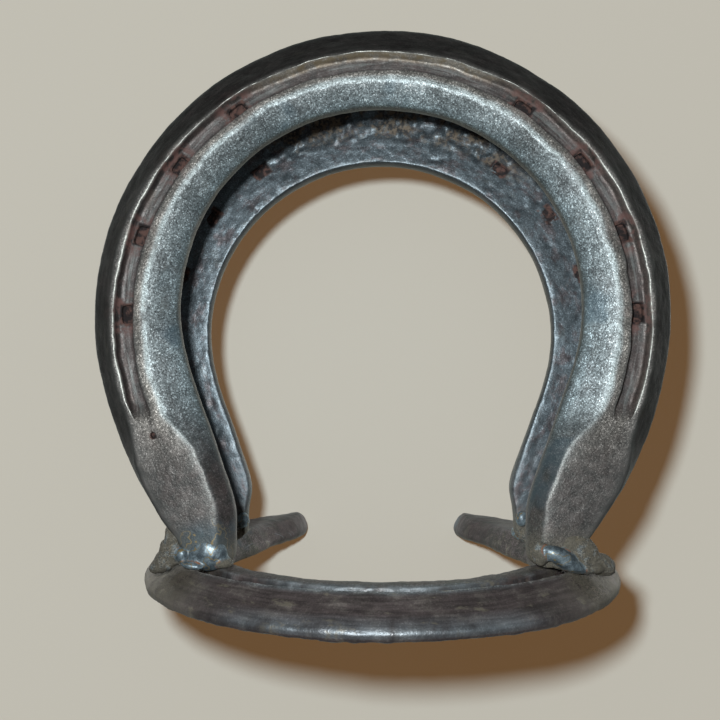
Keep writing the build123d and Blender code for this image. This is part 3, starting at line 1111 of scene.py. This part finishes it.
def shade_rust_and_crust(mix):
    """Painted shade in hollows and corners, rust, and the old crust on the rear shoe."""
    # Painted shade, darker where the surface is concave.
    mix.coat(tone(30, 26, 26), "hollow_shade", mix.range(mix.blotch, 0.2, 0.7, 0.3, 0.8))
    rust = mix.times("rust", mix.range(mix.cloud, 0.4, 0.58), mix.look["rusty"])
    mix.coat(mix.blend(mix.cloud, tone(66, 44, 42), tone(130, 92, 86)), rust, 0.8)
    crusty = mix.times("crusted", mix.range(mix.noise(6.0, 4.0, 0.65), 0.42, 0.56))
    lumps = mix.range(mix.noise(1.3, 3.0, 0.6), 0.42, 0.58)
    mix.coat(mix.blend(lumps, tone(34, 30, 28), tone(110, 98, 82)), crusty, 0.85)
    return mix.most(rust, crusty)


def heat_and_scuffs(mix):
    """Steel blued by the weld with straw threads in it, tarnished heels and pale scuffs."""
    blued = mix.times("blued", mix.range(mix.cloud, 0.3, 0.6, 0.6, 1.0))
    mix.coat(tone(88, 112, 124), blued, 0.75)
    mix.coat(tone(164, 148, 112), "blued", mix.thread(5.0))
    mix.coat((0.45, 0.42, 0.41), "heel", mix.look["tarnish"], kind="MULTIPLY")
    scuff = mix.range(mix.noise(2.6, 4.0, 0.7, where=mix.along_bar(2.8)), 0.56, 0.68)
    mix.coat(tone(156, 150, 134), scuff, mix.look["scuffed"],
             mix.less(1.0, mix.times("heel", 0.85)), 0.7)


def dust_and_grit(mix):
    """Dust, grit and the dirt that fills the nail holes."""
    dusty = mix.times("dust", mix.range(mix.cloud, 0.3, 0.6, 0.35, 1.0))
    mix.coat(tone(132, 128, 114), dusty, 0.85)
    gritty = mix.times("grit", mix.range(mix.cloud, 0.3, 0.55, 0.5, 1.0))
    crumb = mix.blend(mix.range(mix.speck, 0.35, 0.65), tone(42, 41, 38), tone(122, 117, 100))
    crumb = mix.blend(mix.range(mix.cloud, 0.38, 0.58, 0.1, 0.75), crumb, tone(86, 83, 74))
    mix.coat(crumb, gritty, 0.9)
    dirt = mix.range(mix.noise(1.5, 3.0, 0.6), 0.42, 0.64)
    mix.coat(mix.blend(dirt, tone(26, 20, 22), tone(92, 68, 62)), "fill")
    return mix.most(dusty, "fill", gritty)


def shoe_steel(name):
    """The steel of one shoe."""
    mix = Steel(name)
    for coat in CLEAN_COATS:
        coat(mix)
    dull = shade_rust_and_crust(mix)
    heat_and_scuffs(mix)
    dull = mix.most(dull, dust_and_grit(mix))
    gloss = mix.look["gloss"]
    roughness = mix.math("ADD", mix.range(mix.blotch, 0.2, 0.8, gloss, gloss + 0.14),
                         mix.times(dull, 0.35))
    normal = mix.relief((mix.noise(0.3, 1.0, 0.6), 0.55, 0.06), (mix.grain, 0.4, 0.11),
                        (mix.cloud, 0.35, 0.20), (mix.streak, 0.25, 0.10))
    return mix.finish(roughness, mix.less(0.6, mix.times(dull, 0.6)), normal)


for shoe_name in SHOES:
    dress(shoe_name, shoe_steel(shoe_name))
    print("mixed", shoe_name + "_steel")

# %% [markdown]
# ## Weld steel
# The top of a run froze smooth and bluish and shines; its foot is crusted with orange rust,
# slag and grit.

# %% Mix the weld metal


def weld_steel():
    """Bright weld metal with rust at its foot."""
    mix = Recipe("weld_metal")
    cloud = mix.noise(2.0, 5.0, 0.62, warp=0.4)
    speck = mix.cells(0.22)
    mix.colour = mix.blend(mix.range(cloud, 0.35, 0.65), tone(136, 154, 164), tone(78, 90, 98))
    mix.shade(0.5, speck, 0.2, 0.8, 0.6, 1.4)
    mix.coat(tone(140, 126, 94), mix.thread(4.0))
    edge = mix.times(mix.range("crust", 0.02, 0.3), mix.range("crust", 0.9, 0.5))
    rust = mix.times(edge, mix.range(mix.noise(3.1, 4.0, 0.65), 0.48, 0.6))
    grit = mix.times("crust", mix.range(cloud, 0.3, 0.5, 0.6, 1.0))
    crumb = mix.blend(mix.range(speck, 0.3, 0.7), tone(60, 58, 53), tone(124, 119, 107))
    crumb = mix.blend(mix.range(cloud, 0.4, 0.58, 0.15, 0.8), crumb, tone(96, 93, 83))
    mix.coat(crumb, grit, 0.95)
    mix.coat(tone(140, 90, 56), rust, 0.85)
    dull = mix.most(rust, grit)
    roughness = mix.math("ADD", mix.range(cloud, 0.3, 0.7, 0.36, 0.5), mix.times(dull, 0.5))
    normal = mix.relief((mix.times(mix.noise(0.5, 2.0, 0.6), dull), 0.5, 0.2), (cloud, 0.3, 0.2))
    return mix.finish(roughness, mix.less(0.45, mix.times(dull, 0.45)), normal)


weld_metal = weld_steel()
for weld_name in WELDS:
    dress(weld_name, weld_metal)
print("mixed", weld_metal.name)

# %% [markdown]
# ## Tie the pieces to the model
# Nothing on the holder moves, so every piece rides on the one body and stands for the packed
# node that it was made from.

# %% Ride and replace
for node_name, piece in pieces.items():
    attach(piece, "root")
    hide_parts(node_name)
print("pieces:", len(pieces))

# %% [markdown]
# ## Floor
# The holder lies on its back on a plain cream cloth, so the floor stands upright behind it.
# The cloth lets light and sight through from its far side, so the back of the holder can be
# lit and looked at as well. A faint warm glow keeps the shadow on it brown, as in a warm room.

# %% Floor
CREAM, SHADOW_GLOW = (0.445, 0.487, 0.467), (0.125, 0.067, 0.028)
# The cream is painted paler away from the middle: painted light that makes up for the lamp's light
# growing weaker towards the edges.
PALER_FROM, PALER_TO, PALER = 0.07, 0.19, 1.27      # metres from the middle, and how much
FLOOR_GAP = 0.6
floor_y = cad_high.y + FLOOR_GAP * MM
floor_mesh = bpy.data.meshes.new("floor")
floor_mesh.from_pydata([(x, floor_y, z) for x, z in ((-1, -1), (1, -1), (1, 1), (-1, 1))],
                       [], [(0, 1, 2, 3)])
floor = placed("floor", floor_mesh)


def emptied(owner):
    """The node tree of a material or a world, with nothing in it yet."""
    owner.use_nodes = True
    owner.node_tree.nodes.clear()
    return Nodes(owner.node_tree)


def cream_cloth():
    """Cream cloth that is clear from behind and casts no shadow itself."""
    material = bpy.data.materials.new("cream_cloth")
    mix = emptied(material)
    place, rays = mix.add("TexCoord").outputs["Object"], mix.add("LightPath").outputs
    far = mix.add("VectorMath", (place, (0, floor_y, 0.05)), operation="DISTANCE")
    paler = mix.range(far.outputs["Value"], PALER_FROM, PALER_TO, 1.0, PALER, "LINEAR")
    matte = mix.add("BsdfDiffuse", (mix.add("VectorMath", (CREAM, paler), operation="MULTIPLY"),))
    behind = mix.add("NewGeometry").outputs["Backfacing"]
    cloth = mix.add("MixShader", (mix.most(behind, rays["Is Shadow Ray"]), matte,
                                  mix.add("BsdfTransparent")))
    seen = mix.times(mix.less(1.0, behind), rays["Is Camera Ray"])
    glow = mix.add("Emission", (SHADOW_GLOW, seen))
    mix.add("OutputMaterial", (mix.add("AddShader", (cloth, glow)),))
    return material


floor_mesh.materials.append(cream_cloth())
print("floor at y =", round(floor_y, 4))

# %% [markdown]
# ## Light
# One small lamp just above and left of the lens gives the crisp shadow. Its light doesn't fall
# off with distance, so that the near base and the far shoe are lit alike. Three dim lamps
# behind keep the back visible, and a dim warm room fills in what the lamps miss.

# %% Lamps
LENS_SPOT = Vector((0, cad_low.y - 0.1273, 0.0414))
FLASH_OFFSET, FLASH_SIZE, FLASH_POWER = Vector((-0.0165, -0.002, 0.0185)), 0.006, 34.0
MIDDLE = (0, 0, 0.06)


def lamp(name, spot, size, power):
    """A round lamp behind the holder that faces its middle."""
    data = bpy.data.lights.new(name, "AREA")
    data.shape, data.size, data.energy, data.color = "DISK", size, power, (1.0, 0.98, 0.95)
    item = placed(name, data)
    item.location = spot
    item.rotation_euler = (Vector(MIDDLE) - Vector(spot)).to_track_quat("-Z", "Y").to_euler()


def steady(data):
    """Takes the fall with distance out of a lamp."""
    data.use_nodes = True
    nodes = Nodes(data.node_tree)
    fall = nodes.add("LightFalloff", {"Strength": 1.0}).outputs["Constant"]
    nodes.join(fall, nodes.tree.nodes["Emission"].inputs["Strength"])


flash_data = bpy.data.lights.new("flash", "POINT")
flash_data.shadow_soft_size, flash_data.energy = FLASH_SIZE, FLASH_POWER
flash_data.color = (0.98, 1.0, 0.99)
flash = placed("flash", flash_data)
flash.location = LENS_SPOT + FLASH_OFFSET
steady(flash_data)
lamp("back_fill", (0.1, 0.7, 0.3), 0.5, 3.0)
for hand in (-1, 1):
    lamp("side_fill", (0.5 * hand, 0.5, 0.25), 0.3, 2.0)
print("lens at", [round(v, 4) for v in LENS_SPOT])

# %% Room
WARM, COOL, PALE = (1.0, 0.58, 0.3), (0.85, 0.9, 1.0), (0.56, 0.545, 0.47)
ROOM_LIGHT = 0.035
room = bpy.data.worlds.new("room")
bpy.context.scene.world = room
sky = emptied(room)
sky_rays = sky.add("LightPath").outputs
warm, cool = (sky.add("Background", (colour, ROOM_LIGHT)) for colour in (WARM, COOL))
lighting = sky.add("MixShader", (sky_rays["Is Glossy Ray"], warm, cool))
backdrop = sky.add("Background", (PALE,))
sky.add("OutputWorld", (sky.add("MixShader", (sky_rays["Is Camera Ray"], lighting, backdrop)),))
print("nodes in the room's tree:", len(sky.tree.nodes))

# %% [markdown]
# ## Camera
# The lens is close and a little below the middle, looks slightly up and to the left, and keeps
# everything sharp. Colours are shown as they are, without a film look.

# %% Camera
SENSOR_WIDTH, LENS_LENGTH = 36.0, 36.05
YAW, PITCH = math.radians(-1.589), math.radians(3.8)
camera_data = bpy.data.cameras.new("camera")
camera_data.sensor_width, camera_data.lens = SENSOR_WIDTH, LENS_LENGTH
camera_data.clip_start, camera_data.clip_end = 0.005, 10
camera = placed("camera", camera_data)
ahead = Vector((math.sin(YAW) * math.cos(PITCH), math.cos(YAW) * math.cos(PITCH),
                math.sin(PITCH)))
camera.location = LENS_SPOT
camera.rotation_euler = ahead.to_track_quat("-Z", "Y").to_euler()
bpy.context.scene.camera = camera
bpy.context.scene.view_settings.view_transform = "Standard"
print("looks", [round(v, 3) for v in ahead])

# %% [markdown]
# ## Finish
# The made model has to stay inside the imported one.

# %% Update the scene
bpy.context.view_layer.update()
